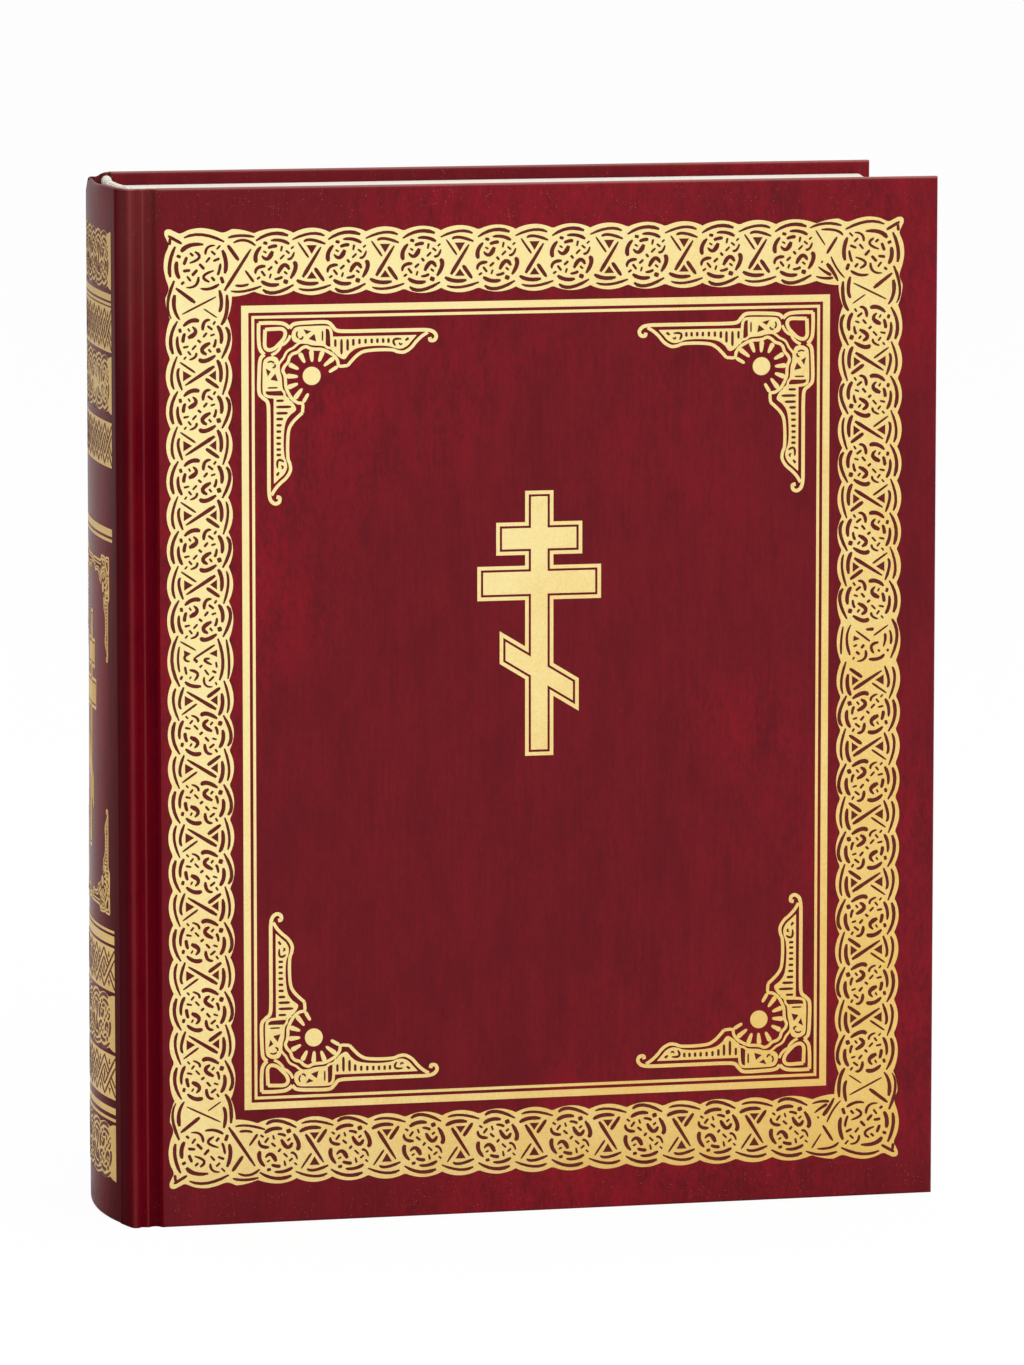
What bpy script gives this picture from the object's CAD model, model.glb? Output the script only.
"""Looks of a case-bound book with a gold-stamped burgundy cover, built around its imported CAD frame."""

import math

import bpy
import numpy as np
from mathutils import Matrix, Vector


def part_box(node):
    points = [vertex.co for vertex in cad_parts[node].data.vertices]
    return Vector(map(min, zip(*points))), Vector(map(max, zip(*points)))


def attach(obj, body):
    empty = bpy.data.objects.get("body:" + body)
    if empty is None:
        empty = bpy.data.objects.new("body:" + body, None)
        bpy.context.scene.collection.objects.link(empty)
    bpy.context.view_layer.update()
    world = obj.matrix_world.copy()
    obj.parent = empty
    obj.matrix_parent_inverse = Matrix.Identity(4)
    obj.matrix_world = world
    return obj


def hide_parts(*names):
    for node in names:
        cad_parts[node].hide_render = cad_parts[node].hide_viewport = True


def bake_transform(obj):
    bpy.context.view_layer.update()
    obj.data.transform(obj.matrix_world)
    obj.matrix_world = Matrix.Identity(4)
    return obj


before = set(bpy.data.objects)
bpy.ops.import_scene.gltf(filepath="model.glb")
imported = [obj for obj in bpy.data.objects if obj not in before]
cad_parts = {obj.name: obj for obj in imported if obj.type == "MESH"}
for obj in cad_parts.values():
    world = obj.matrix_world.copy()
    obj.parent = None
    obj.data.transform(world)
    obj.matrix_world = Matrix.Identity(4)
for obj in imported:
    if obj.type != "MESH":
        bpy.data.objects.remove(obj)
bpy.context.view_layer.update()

bl_info = {
    "name": "Case-bound book",
    "version": (1, 0, 0),
    "blender": (4, 5, 0),
    "location": "View3D > Sidebar > Book",
    "description": "Builds the covering, gold stamping, paper and stage of a case-bound book",
    "category": "Object",
}

MM = 0.001
COVER_LO, COVER_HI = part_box("front_cover_leatherette")
BOARD_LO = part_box("front_board")[0]
SPINE_LO, SPINE_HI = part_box("spine_leatherette")


def linear(red, green, blue):
    """Linear colour of a display colour given in steps of 255."""
    steps = np.array([red, green, blue]) / 255.0
    low = steps / 12.92
    high = ((steps + 0.055) / 1.055) ** 2.4
    return tuple(float(c) for c in np.where(steps <= 0.04045, low, high))


def length(name, description, mm):
    """A property that holds a length, given in millimetres."""
    return bpy.props.FloatProperty(
        name=name, description=description, default=mm * MM, unit="LENGTH", precision=6
    )


def factor(name, description, value):
    """A property that holds a plain number."""
    return bpy.props.FloatProperty(name=name, description=description, default=value)


def colour(name, description, rgb):
    """A property that holds a display colour, given in steps of 255."""
    return bpy.props.FloatVectorProperty(
        name=name,
        description=description,
        default=linear(*rgb),
        subtype="COLOR",
        size=3,
        min=0.0,
        max=1.0,
    )


class BOOK_PG_stamping(bpy.types.PropertyGroup):
    """Sizes of the gold stamping, measured from the joint edge and the tail of the front cover."""

    foil: length("Foil", "Height of the gold over the cover", 0.05)
    land: length("Land", "Height of the unstamped lines over the cover", 0.1)
    row_top: length("Top row", "Centre line of the top row of the border", 248.9)
    row_bottom: length("Bottom row", "Centre line of the bottom row", 18.9)
    column_left: length("Left column", "Centre line of the left column", 10.4)
    column_right: length("Right column", "Centre line of the right column", 187.8)
    band: length("Band", "Half width of the border at its valleys", 7.35)
    scallop: length("Scallop", "Rise of the scallops of the border", 1.25)
    rule_left: length("Rule left", "Outer side of the rule frame", 21.4)
    rule_right: length("Rule right", "Outer side of the rule frame", 176.9)
    rule_bottom: length("Rule bottom", "Outer side of the rule frame", 29.9)
    rule_top: length("Rule top", "Outer side of the rule frame", 237.9)
    rule_thick: length("Thick rule", "Width of the outer rule", 1.85)
    rule_gap: length("Rule gap", "Bare line between the rules", 0.8)
    rule_thin: length("Thin rule", "Width of the inner rule", 0.75)
    cross_x: length("Cross", "Centre line of the cross", 99.5)
    ornament: length("Ornament", "From the rules to the corner ornaments", 4.1)
    spine_half: length("Spine bands", "Half length of the bands across the spine", 24.5)


class BOOK_PG_covering(bpy.types.PropertyGroup):
    """Sizes of the leatherette where it rounds the spine and dips into the joints."""

    skin: length("Skin", "Thickness of the leatherette", 0.4)
    card: length("Card", "Thickness of the card in the spine", 0.8)
    turn_in: length("Turn-in", "Depth of the fold at head and tail", 16.0)
    spine_r: length("Spine radius", "Radius of the spine", 210.0)
    spine_cx: length("Spine centre x", "Centre of the spine's arc", 101.755)
    spine_cy: length("Spine centre y", "Centre of the spine's arc", -9.642)
    spine_y: length("Spine end", "Where the arc gives way to the shoulders", 26.4)
    swell: length("Swell", "Rise of the spine over its arc at the tail", 1.75)
    swell_end: length("Swell end", "Height at which the rise of the spine ends", 197.0)
    askew: length("Askew", "How far the stamping of the spine leans to the back at the head", 1.9)
    draw: length("Draw", "How far the spine is drawn in at the head", 0.5)
    sink: length("Sink", "How far the head of the spine is pulled down at its back half", 1.2)
    draw_reach: length("Draw reach", "Height over which the spine is drawn in", 5.0)
    lip: length("Lip", "Gap inside the fold of the joints at head and tail", 0.12)
    bend: length("Bend", "Length over which a turning leaf bends", 50.0)
    endpaper: length("Endpaper", "Thickness of the endpaper in the joints", 0.1)
    back_r: length("Back radius", "Radius of the rounded back of the pages", 145.0)
    back_cx: length("Back centre", "Centre of the rounded back", 41.795)
    bead: length("Bead", "Thickness of the headband's bead", 2.8)
    wrap: length("Wrap", "Pitch of the cotton wound round the bead", 0.8)
    tape: length("Tape", "Thickness of the headband's tape", 0.3)


class BOOK_PG_colours(bpy.types.PropertyGroup):
    """Colours of the materials."""

    hide: colour("Leatherette", "Main colour of the covering", (110, 14, 25))
    hide_deep: colour("Leatherette deep", "Dark patches of the covering", (90, 10, 20))
    hide_warm: colour("Leatherette warm", "Red patches of the covering", (132, 12, 28))
    joint: colour("Joint", "Pressed leatherette of the joints", (101, 6, 20))
    joint_deep: colour("Joint deep", "Dark patches of the joints", (84, 4, 15))
    crease: colour("Crease", "Shaded leatherette between spine and joints", (48, 1, 8))
    speck: colour("Specks", "Pale specks of the covering", (196, 140, 128))
    land: colour("Land", "Unstamped lines inside the gold", (98, 38, 28))
    gold: colour("Gold", "Pale gold", (252, 236, 172))
    gold_deep: colour("Gold deep", "Deep gold", (230, 190, 102))
    gold_dull: colour("Gold dull", "Rubbed gold of the spine", (170, 136, 76))
    paper: colour("Paper", "Pages", (240, 236, 226))
    paper_shade: colour("Paper shade", "Lines between the leaves", (196, 188, 172))
    endpaper: colour("Endpaper", "Endpapers", (244, 241, 233))
    band: colour("Headband", "Cotton of the headbands", (244, 240, 230))
    board: colour("Board", "Grey board", (150, 142, 130))
    kraft: colour("Kraft", "Kraft paper", (156, 116, 76))
    mull: colour("Mull", "Open cotton cloth", (222, 214, 194))
    thread: colour("Thread", "Linen thread", (232, 224, 204))
    floor: colour("Floor", "Pale floor", (250, 250, 250))


class BOOK_PG_stage(bpy.types.PropertyGroup):
    """Camera and light."""

    camera_x: length("Camera x", "Place of the camera", -480.94)
    camera_y: length("Camera y", "Place of the camera", -2050.47)
    camera_z: length("Camera z", "Place of the camera", 410.2)
    yaw: factor("Yaw", "Turn of the camera to the right, in degrees", 13.272)
    pitch: factor("Pitch", "Tilt of the camera downwards, in degrees", 7.458)
    lens: factor("Lens", "Focal length in millimetres", 213.39)
    sky: factor("Sky", "Strength of the even light", 0.55)
    key: factor("Key", "Strength of the main light", 26.0)


class Value:
    """A shader output that takes part in arithmetic: every operation adds a Math node."""

    def __init__(self, tree, socket):
        self.tree = tree
        self.socket = socket

    def math(self, operation, *others):
        """A Math node of this value and the others."""
        values = dict(enumerate((self,) + others))
        return self.tree.node("ShaderNodeMath", {"operation": operation}, values)

    def __add__(self, other):
        return self.math("ADD", other)

    def __sub__(self, other):
        return self.math("SUBTRACT", other)

    def __mul__(self, other):
        return self.math("MULTIPLY", other)

    def __truediv__(self, other):
        return self.math("DIVIDE", other)

    def __rsub__(self, other):
        return (self * -1.0) + other

    def step(self, low, high):
        """Zero below low, one above high, smooth between."""
        sockets = {"Value": self, "From Min": low, "From Max": high}
        settings = {"interpolation_type": "SMOOTHSTEP"}
        return self.tree.node("ShaderNodeMapRange", settings, sockets)


def rgba(value):
    """A colour with full alpha."""
    return (*value, 1.0)


class Tree:
    """A node tree that is filled through one method."""

    def __init__(self, owner):
        owner.use_nodes = True
        self.tree = owner.node_tree
        self.tree.nodes.clear()

    def node(self, kind, settings=None, sockets=None, output=0):
        """Adds a node of that type, sets it, fills its sockets and gives one of its outputs."""
        made = self.tree.nodes.new(kind)
        for name, value in (settings or {}).items():
            setattr(made, name, value)
        for name, value in (sockets or {}).items():
            if isinstance(value, Value):
                self.tree.links.new(value.socket, made.inputs[name])
            else:
                made.inputs[name].default_value = value
        if not made.outputs:
            return None
        return Value(self, made.outputs[output])

    def place(self, bent=False):
        """Object coordinates, or the stored rest place of a piece that bends."""
        if bent:
            return self.node("ShaderNodeAttribute", {"attribute_name": "rest"}, None, 1)
        return self.node("ShaderNodeTexCoord", output=3)

    def stretch(self, vector, scale):
        """A vector times three numbers."""
        settings = {"operation": "MULTIPLY"}
        return self.node("ShaderNodeVectorMath", settings, {0: vector, 1: scale})

    def noise(self, vector, scale, detail, roughness=0.55):
        """Noise of that many features to the metre."""
        sockets = {"Vector": vector, "Scale": scale, "Detail": detail, "Roughness": roughness}
        return self.node("ShaderNodeTexNoise", None, sockets)

    def mix(self, share, first, second):
        """First colour where share is zero, second where it is one."""
        first, second = (end if isinstance(end, Value) else rgba(end) for end in (first, second))
        return self.node("ShaderNodeMix", {"data_type": "RGBA"}, {0: share, 6: first, 7: second}, 2)

    def axes(self, vector):
        """The three parts of a vector."""
        parts = self.node("ShaderNodeSeparateXYZ", None, {0: vector})
        outputs = parts.socket.node.outputs
        return [Value(self, outputs[i]) for i in range(3)]

    def bump(self, height, strength, distance):
        """A normal that follows a height."""
        sockets = {"Height": height, "Strength": strength, "Distance": distance}
        return self.node("ShaderNodeBump", None, sockets)

    def surface(self, **sockets):
        """Ends the tree in a Principled surface."""
        named = {key.replace("_", " "): value for key, value in sockets.items()}
        shader = self.node("ShaderNodeBsdfPrincipled", None, named)
        self.node("ShaderNodeOutputMaterial", None, {"Surface": shader})


def new_tree(name):
    """A fresh material and its tree."""
    material = bpy.data.materials.new(name)
    return material, Tree(material)


# Where the leatherette changes: heights of the head, and distances from the middle of the spine
HEAD_RUBBED = (COVER_HI.z - 0.5 * MM, COVER_HI.z - 0.15 * MM)
HEAD_PALES = (200.0 * MM, COVER_HI.z)
CREASE_DARKENS = (10.0 * MM, 26.0 * MM)
CREASE_CLEARS = (31.5 * MM, 33.6 * MM)
JOINT_PALES = (26.5 * MM, 32.0 * MM)
CREST_CORE = 0.05 * MM
# Crests of the joints: x and half width in millimetres, and the share of the pale tone
JOINT_CRESTS = ((-104.9, 0.9, 0.05), (-101.5, 0.35, 0.06))


def leatherette(name, main, deep, warm, speck, bent=False, gloss=0.11, crests=(), dull=0.34, crease=None):
    """Burgundy leatherette: broad and fine mottle, upright streaks, pale specks near head and tail.

    The head edge and the crests are rubbed pale. The crease is the colour that takes over towards the two
    corners between the spine and the joints, less so at the head, where the joints are paler.
    """
    material, tree = new_tree(name)
    place = tree.place(bent)
    broad = tree.noise(place, 9.0, 2.0)
    patch = tree.noise(tree.stretch(place, (160.0, 160.0, 60.0)), 1.0, 5.0, 0.7)
    fine = tree.noise(tree.stretch(place, (1100.0, 1100.0, 500.0)), 1.0, 3.0, 0.6)
    streak = tree.noise(tree.stretch(place, (1500.0, 1500.0, 55.0)), 1.0, 2.0)
    grain = tree.noise(place, 3200.0, 2.0)
    along = tree.axes(place)
    half = (COVER_HI.z - COVER_LO.z) / 2
    edge = (along[2] - half).math("ABSOLUTE").step(half * 0.8, half)
    cells = {"Vector": place, "Scale": 2200.0}
    distance = tree.node("ShaderNodeTexVoronoi", None, cells)
    chance = tree.axes(tree.node("ShaderNodeTexVoronoi", None, cells, 1))[0]
    cluster = tree.noise(place, 240.0, 2.0).step(0.40, 0.66)
    dot = (1.0 - distance.step(0.1, 0.3)) * chance.step(0.7, 1.0) * (cluster * 0.8 + 0.2)
    mottle = (patch * 0.6 + streak * 0.25 + fine * 0.3).step(0.35, 0.80)
    base = tree.mix(mottle, deep, main)
    redness = broad.step(0.46, 0.66) * (patch * 0.7 + fine * 0.5).step(0.4, 0.85)
    base = tree.mix(redness, base, warm)
    base = tree.mix(dot * (edge * 0.55 + 0.06), base, speck)
    rubbed = along[2].step(*HEAD_RUBBED) * 0.35
    for x, wide, share in crests:
        near = 1.0 - (along[0] - x * MM).math("ABSOLUTE").step(CREST_CORE, wide * MM)
        rubbed = rubbed.math("MAXIMUM", near * share)
    base = tree.mix(rubbed, base, speck)
    if crease:
        aside = along[1].math("ABSOLUTE")
        shade = aside.step(*CREASE_DARKENS) * (1.0 - aside.step(*CREASE_CLEARS))
        head = along[2].step(*HEAD_PALES)
        base = tree.mix(shade * (0.6 - head * 0.35), base, crease)
        base = tree.mix(aside.step(*JOINT_PALES) * head * 0.06, base, speck)
    rough = patch * 0.12 + streak * 0.1 + dull
    height = grain * 0.5 + fine * 0.6 + streak * 0.4
    normal = tree.bump(height, 0.65 * dull, 0.0002)
    tree.surface(Base_Color=base, Roughness=rough, Specular_IOR_Level=gloss, Normal=normal)
    return material


def gold_foil(name, pale, deep):
    """Gold foil: metal with a fine grain, deeper towards the fore-edge and tail."""
    material, tree = new_tree(name)
    place = tree.place()
    along = tree.axes(place)
    across = (along[0] - COVER_LO.x) / (COVER_HI.x - COVER_LO.x)
    down = 1.0 - along[2] / COVER_HI.z
    cloud = tree.noise(place, 60.0, 3.0)
    grain = tree.noise(place, 1700.0, 2.0, 0.7)
    share = (across * 0.5 + down * 0.5 + cloud * 0.5 + grain * 0.5 - 0.5).step(0.0, 1.1)
    base = tree.mix(share, pale, deep)
    rough = grain * 0.2 + cloud * 0.1 + 0.24
    normal = tree.bump(grain, 0.25, 0.0001)
    tree.surface(Base_Color=base, Roughness=rough, Metallic=1.0, Normal=normal)
    return material


# Depth of the cut face of the leaves at head and tail, and where it begins before the fore-edge
CUT_DEPTH = 0.1 * MM
FORE_CUT = (2.0 * MM, 1.9 * MM)


def leaf_edges(name, main, shade, bent=False):
    """Paper cut in a block: fine lines along the leaves, faint clouds."""
    material, tree = new_tree(name)
    place = tree.place(bent)
    along = tree.axes(place)
    low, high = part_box("section_04")
    middle, half = (high.z + low.z) / 2, (high.z - low.z) / 2
    ends = (along[2] - middle).math("ABSOLUTE").step(half - CUT_DEPTH, half)
    fore = along[0].step(high.x - FORE_CUT[0], high.x - FORE_CUT[1])
    cut = ends.math("MAXIMUM", fore)
    lines = tree.noise(tree.stretch(place, (25.0, 9000.0, 25.0)), 1.0, 2.0, 0.6)
    cloud = tree.noise(place, 50.0, 3.0)
    fibre = tree.noise(place, 2500.0, 2.0)
    share = lines.step(0.42, 0.72) * cut * 0.7 + cloud * 0.06 + fibre * 0.1 - 0.05
    base = tree.mix(share, main, shade)
    normal = tree.bump(lines * cut + fibre * 0.3, 0.35, 0.0001)
    tree.surface(Base_Color=base, Roughness=fibre * 0.1 + 0.8, Specular_IOR_Level=0.2, Normal=normal)
    return material


def sheet_paper(name, main, shade, bent=False):
    """A sheet of paper: faint clouds and fibres."""
    material, tree = new_tree(name)
    place = tree.place(bent)
    cloud = tree.noise(place, 70.0, 4.0)
    fibre = tree.noise(tree.stretch(place, (900.0, 900.0, 2600.0)), 1.0, 3.0, 0.7)
    share = cloud.step(0.4, 0.8) * 0.06 + fibre.step(0.5, 0.8) * 0.12
    base = tree.mix(share, main, shade)
    normal = tree.bump(fibre, 0.2, 0.0001)
    tree.surface(Base_Color=base, Roughness=fibre * 0.1 + 0.78, Specular_IOR_Level=0.2, Normal=normal)
    return material


def woven(name, main, shade, pitch):
    """Cloth: two crossing sets of threads at that pitch."""
    material, tree = new_tree(name)
    along = tree.axes(tree.place())
    turn = 2.0 * math.pi / pitch
    warp = ((along[1] + along[0]) * turn).math("SINE")
    weft = (along[2] * turn).math("SINE")
    weave = (warp * weft).step(-1.0, 1.0)
    base = tree.mix(weave, shade, main)
    normal = tree.bump(weave, 0.5, pitch * 0.3)
    tree.surface(Base_Color=base, Roughness=weave * 0.1 + 0.8, Specular_IOR_Level=0.2, Normal=normal)
    return material


LOOKS = {}


def looks(name):
    """A material by its short name."""
    return LOOKS[name]


MULL_PITCH, THREAD_PITCH, BAND_PITCH = 0.9 * MM, 0.4 * MM, 0.8 * MM
NODE_LOOKS = {
    "board": ("front_board", "back_board", "spine_card"),
    "hide": ("front_cover_leatherette", "back_cover_leatherette"),
    "endpaper": ("front_pastedown", "back_pastedown", "front_flyleaf", "back_flyleaf"),
    "kraft": ("kraft_lining",),
    "mull": ("mull", "front_mull_flange", "back_mull_flange"),
    "thread": ("sewing_thread",),
    "band": ("headband", "tailband"),
}


class BOOK_OT_materials(bpy.types.Operator):
    """Makes the materials and gives them to the CAD pieces"""

    bl_idname = "book.materials"
    bl_label = "Materials"

    def execute(self, context):
        c = context.scene.book_colours
        hide = (c.hide, c.hide_deep, c.hide_warm, c.speck)
        LOOKS["hide"] = leatherette("leatherette", *hide)
        LOOKS["hide_bent"] = leatherette(
            "leatherette of the spine", *hide, bent=True, gloss=0.009, dull=0.1, crease=c.crease
        )
        pressed = (c.joint, c.joint_deep, c.joint, c.speck)
        LOOKS["joint"] = leatherette(
            "leatherette of the joints",
            *pressed,
            bent=True,
            gloss=0.004,
            crests=JOINT_CRESTS,
            dull=0.2,
            crease=c.crease,
        )
        LOOKS["land"] = leatherette("unstamped leatherette", c.land, c.hide_deep, c.land, c.land)
        LOOKS["gold"] = gold_foil("gold foil", c.gold, c.gold_deep)
        LOOKS["spine gold"] = gold_foil("gold foil of the spine", c.gold_deep, c.gold_dull)
        LOOKS["paper"] = leaf_edges("page paper", c.paper, c.paper_shade)
        LOOKS["paper_bent"] = leaf_edges("turning leaves", c.paper, c.paper_shade, True)
        LOOKS["endpaper"] = sheet_paper("endpaper", c.endpaper, c.paper_shade)
        LOOKS["endpaper_bent"] = sheet_paper("bending endpaper", c.endpaper, c.paper_shade, True)
        LOOKS["board"] = sheet_paper("grey board", c.board, c.kraft)
        LOOKS["kraft"] = sheet_paper("kraft paper", c.kraft, c.board)
        LOOKS["mull"] = woven("mull", c.mull, c.kraft, MULL_PITCH)
        LOOKS["thread"] = woven("linen thread", c.thread, c.kraft, THREAD_PITCH)
        LOOKS["band"] = woven("headband cotton", c.band, c.paper_shade, BAND_PITCH)
        for name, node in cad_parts.items():
            found = [look for look, names in NODE_LOOKS.items() if name in names]
            material = looks(found[0]) if found else looks("paper")
            node.data.materials.clear()
            node.data.materials.append(material)
        return {"FINISHED"}


def smooth_curve(points, count):
    """Curve through the points: on each span a cubic, its end slopes half the chord of the neighbours."""
    points = np.asarray(points, float)
    before = np.vstack([2 * points[0] - points[1], points[:-1]])
    after = np.vstack([points[1:], 2 * points[-1] - points[-2]])
    slope = (after - before) / 2
    t = np.linspace(0, len(points) - 1, count)
    span = np.clip(t.astype(int), 0, len(points) - 2)
    t = (t - span)[:, None]
    a, b = points[span], points[span + 1]
    ra, rb = slope[span], slope[span + 1]
    ease = t * t * (3 - 2 * t)
    return a + (b - a) * ease + ra * t * (1 - t) ** 2 - rb * t * t * (1 - t)


def new_object(name, verts, faces, material):
    """A mesh object of those points and faces."""
    mesh = bpy.data.meshes.new(name)
    mesh.from_pydata(verts.tolist(), [], faces.tolist())
    mesh.materials.append(material)
    made = bpy.data.objects.new(name, mesh)
    bpy.context.scene.collection.objects.link(made)
    return made


def keep_rest(made, verts):
    """Stores where every point lies at rest, for materials of pieces that bend."""
    rest = made.data.attributes.new("rest", "FLOAT_VECTOR", "POINT")
    rest.data.foreach_set("vector", np.ascontiguousarray(verts, np.float32).ravel())


def shade_smooth(made, degrees):
    """Smooth shading with edges sharper than that many degrees kept."""
    made.data.polygons.foreach_set("use_smooth", np.ones(len(made.data.polygons), bool))
    made.data.set_sharp_from_angle(angle=math.radians(degrees))


def grid_faces(rows, columns, wrap=False):
    """Quads of a grid of points in row order; wrap joins the last column to the first."""
    index = np.arange(rows * columns).reshape(rows, columns)
    if wrap:
        index = np.hstack([index, index[:, :1]])
    corners = [index[:-1, :-1], index[1:, :-1], index[1:, 1:], index[:-1, 1:]]
    return np.stack([c.ravel() for c in corners], axis=1)


def tube_faces(rings, count):
    """Quads of a closed tube: its grid, and at both ends a cap that joins the two halves of the ring."""
    faces = grid_faces(rings, count, True)
    first = np.arange(count // 2 - 1)
    cap = np.stack([first, first + 1, count - 2 - first, count - 1 - first], axis=1)
    return np.vstack([faces, cap, cap[:, ::-1] + (rings - 1) * count])


# Strips of one stamp that cross each other lie at one of these many small heights
LIFT = 0.0015 * MM
LIFT_TURNS = 12


class Stamp:
    """Flat strips gathered over a face and made into one thin plate; a small lift keeps them apart."""

    def __init__(self):
        self.points = []
        self.faces = []
        self.lifts = []
        self.count = 0

    def strip(self, right, left):
        """Strips between two edges, arrays of (strips, stations, 2); each is turned to face outwards."""
        right = np.asarray(right, float).reshape(-1, np.shape(right)[-2], 2)
        left = np.asarray(left, float).reshape(right.shape)
        along = np.diff(right + left, axis=1)
        over = (left - right)[:, :-1] + (left - right)[:, 1:]
        area = (along[..., 0] * over[..., 1] - along[..., 1] * over[..., 0]).sum(axis=1)
        turned = (area < 0)[:, None, None]
        right, left = np.where(turned, left, right), np.where(turned, right, left)
        strips, stations = right.shape[:2]
        block = np.stack([right, left], axis=2).reshape(-1, 2)
        index = np.arange(strips * stations * 2).reshape(strips, stations, 2) + self.count
        corners = [index[:, :-1, 0], index[:, 1:, 0], index[:, 1:, 1], index[:, :-1, 1]]
        turn = np.arange(strips) + len(self.points)
        self.lifts.append(np.repeat(LIFT * (1 + turn % LIFT_TURNS), stations * 2))
        self.points.append(block)
        self.faces.append(np.stack([c.ravel() for c in corners], axis=1))
        self.count += len(block)

    def ribbon(self, lines, halves):
        """Ribbons along centre lines (ribbons, stations, 2) with half widths (ribbons, stations)."""
        lines = np.asarray(lines, float)
        run = np.gradient(lines, axis=1)
        run = run / np.maximum(np.linalg.norm(run, axis=2, keepdims=True), 1e-12)
        side = np.stack([-run[..., 1], run[..., 0]], axis=2) * np.asarray(halves)[..., None]
        self.strip(lines - side, lines + side)

    def finish(self, name, surface, height, material, slot, body):
        """Lays the strips on a surface, a function of flat points and a height, as a thin plate."""
        flat = np.vstack(self.points)
        verts = surface(flat, np.concatenate(self.lifts))
        made = new_object(name, verts, np.vstack(self.faces), material)
        plate = made.modifiers.new("plate", "SOLIDIFY")
        plate.thickness = height
        plate.offset = 1.0
        plate.use_even_offset = False
        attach(made, body)
        return made


class Places:
    """Where a motif is put: origins and directions of its two axes, arrays of (places, 2).

    The weight is what the widths of its lines are multiplied by.
    """

    def __init__(self, rows, weight=1.0):
        rows = np.asarray(rows, float).reshape(-1, 6)
        self.origin, self.u, self.v = rows[:, 0:2], rows[:, 2:4], rows[:, 4:6]
        self.weight = weight

    def some(self, rows):
        """A few of the places."""
        return Places(np.hstack([self.origin, self.u, self.v])[rows], self.weight)

    def put(self, points):
        """Points (..., 2) of the motif at every place: (places, ..., 2)."""
        points = np.asarray(points, float)
        shape = (len(self.origin),) + (1,) * (points.ndim - 1) + (2,)
        u, v, origin = (a.reshape(shape) for a in (self.u, self.v, self.origin))
        return origin + points[None, ..., :1] * u + points[None, ..., 1:] * v


STROKE_STATIONS = 7
STROKE_WEIGHT = 1.65
BLUNT_END = 0.55


def stroke_lines(strokes):
    """Centre lines of strokes, each a parabola through start, middle and end, and their half widths."""
    rows = np.asarray(strokes, float) * MM
    t = np.linspace(0, 1, STROKE_STATIONS)[None, :, None]
    first, middle, last = rows[:, None, 0:2], rows[:, None, 2:4], rows[:, None, 4:6]
    bend = 2 * middle - (first + last) / 2
    lines = (1 - t) ** 2 * first + 2 * t * (1 - t) * bend + t * t * last
    t = t[..., 0]
    halves = (rows[:, 6:7] * (1 - t) + rows[:, 7:8] * t) / 2 * STROKE_WEIGHT
    round_end = np.sqrt(np.maximum(1 - (2 * t - 1) ** 6, 0.0))
    return lines, halves * (BLUNT_END + (1 - BLUNT_END) * round_end)


def straight(x0, y0, x1, y1, w0, w1):
    """A straight stroke."""
    return (x0, y0, (x0 + x1) / 2, (y0 + y1) / 2, x1, y1, w0, w1)


# Unstamped strokes of the interlace, in millimetres from the middle of a motif, the second axis outwards:
# start, middle and end, then the width at the start and at the end
RING = [
    (-3.75, 4.0, -5.1, 2.0, -5.0, -0.1, 0.55, 0.75),
    (4.7, 0.05, 5.2, -1.6, 3.85, -4.3, 0.75, 0.6),
    straight(-3.2, 5.0, -2.1, 4.75, 0.5, 0.5),
    (-1.2, 5.5, 1.3, 5.5, 3.6, 4.55, 0.45, 0.6),
    (-3.75, -4.8, -1.6, -5.8, 0.9, -5.7, 0.65, 0.6),
    straight(2.0, -4.85, 3.2, -5.25, 0.7, 0.7),
]
WHIRLS = [
    (-3.6, 1.7, -2.1, 0.85, -0.75, 2.8, 0.4, 0.85),
    straight(-3.2, 2.85, -2.35, 2.35, 0.3, 0.3),
    (-2.0, 3.6, -0.8, 4.0, 0.45, 4.1, 0.5, 0.6),
    straight(1.4, 2.65, 1.7, 4.1, 0.3, 0.4),
    straight(2.65, 2.9, 3.65, 2.1, 0.35, 0.35),
    straight(4.0, 3.3, 4.75, 3.95, 0.3, 0.3),
    straight(1.15, 0.7, 2.3, 1.8, 0.35, 0.35),
    (3.05, 0.7, 4.15, 1.0, 4.85, 2.5, 0.45, 0.35),
    straight(-0.2, 0.35, 0.5, -0.5, 0.4, 0.4),
    (-5.25, -2.95, -4.7, -1.45, -2.6, -1.0, 0.45, 0.6),
    straight(-3.75, -2.2, -2.7, -3.55, 0.4, 0.4),
    straight(-2.0, -2.1, -0.85, -1.1, 0.4, 0.4),
    straight(-4.9, -4.3, -4.0, -3.7, 0.35, 0.35),
    straight(-1.6, -4.15, -1.2, -2.95, 0.3, 0.35),
    (0.6, -2.95, 2.2, -0.8, 3.6, -2.0, 0.7, 0.6),
    straight(2.2, -2.45, 3.05, -3.15, 0.35, 0.35),
    (-0.35, -4.35, 0.9, -4.2, 1.8, -3.75, 0.4, 0.5),
]
OVER_ROUNDEL = [
    (-5.1, 5.5, -0.9, 7.25, 3.3, 6.7, 0.45, 0.65),
    (-3.35, -7.0, -0.2, -7.85, 4.65, -5.9, 0.6, 0.5),
]
CROSSING = [
    straight(-3.55, 4.95, -0.8, 1.0, 0.3, 0.4),
    straight(2.4, 3.6, -2.35, -4.0, 0.4, 0.7),
    straight(0.8, -1.7, 3.2, -5.1, 0.65, 0.55),
]
CROSSING_FILL = [
    straight(0.0, 4.15, 0.0, 1.95, 2.7, 0.1),
    straight(0.0, -4.4, 0.0, -2.6, 2.6, 0.1),
]
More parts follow.
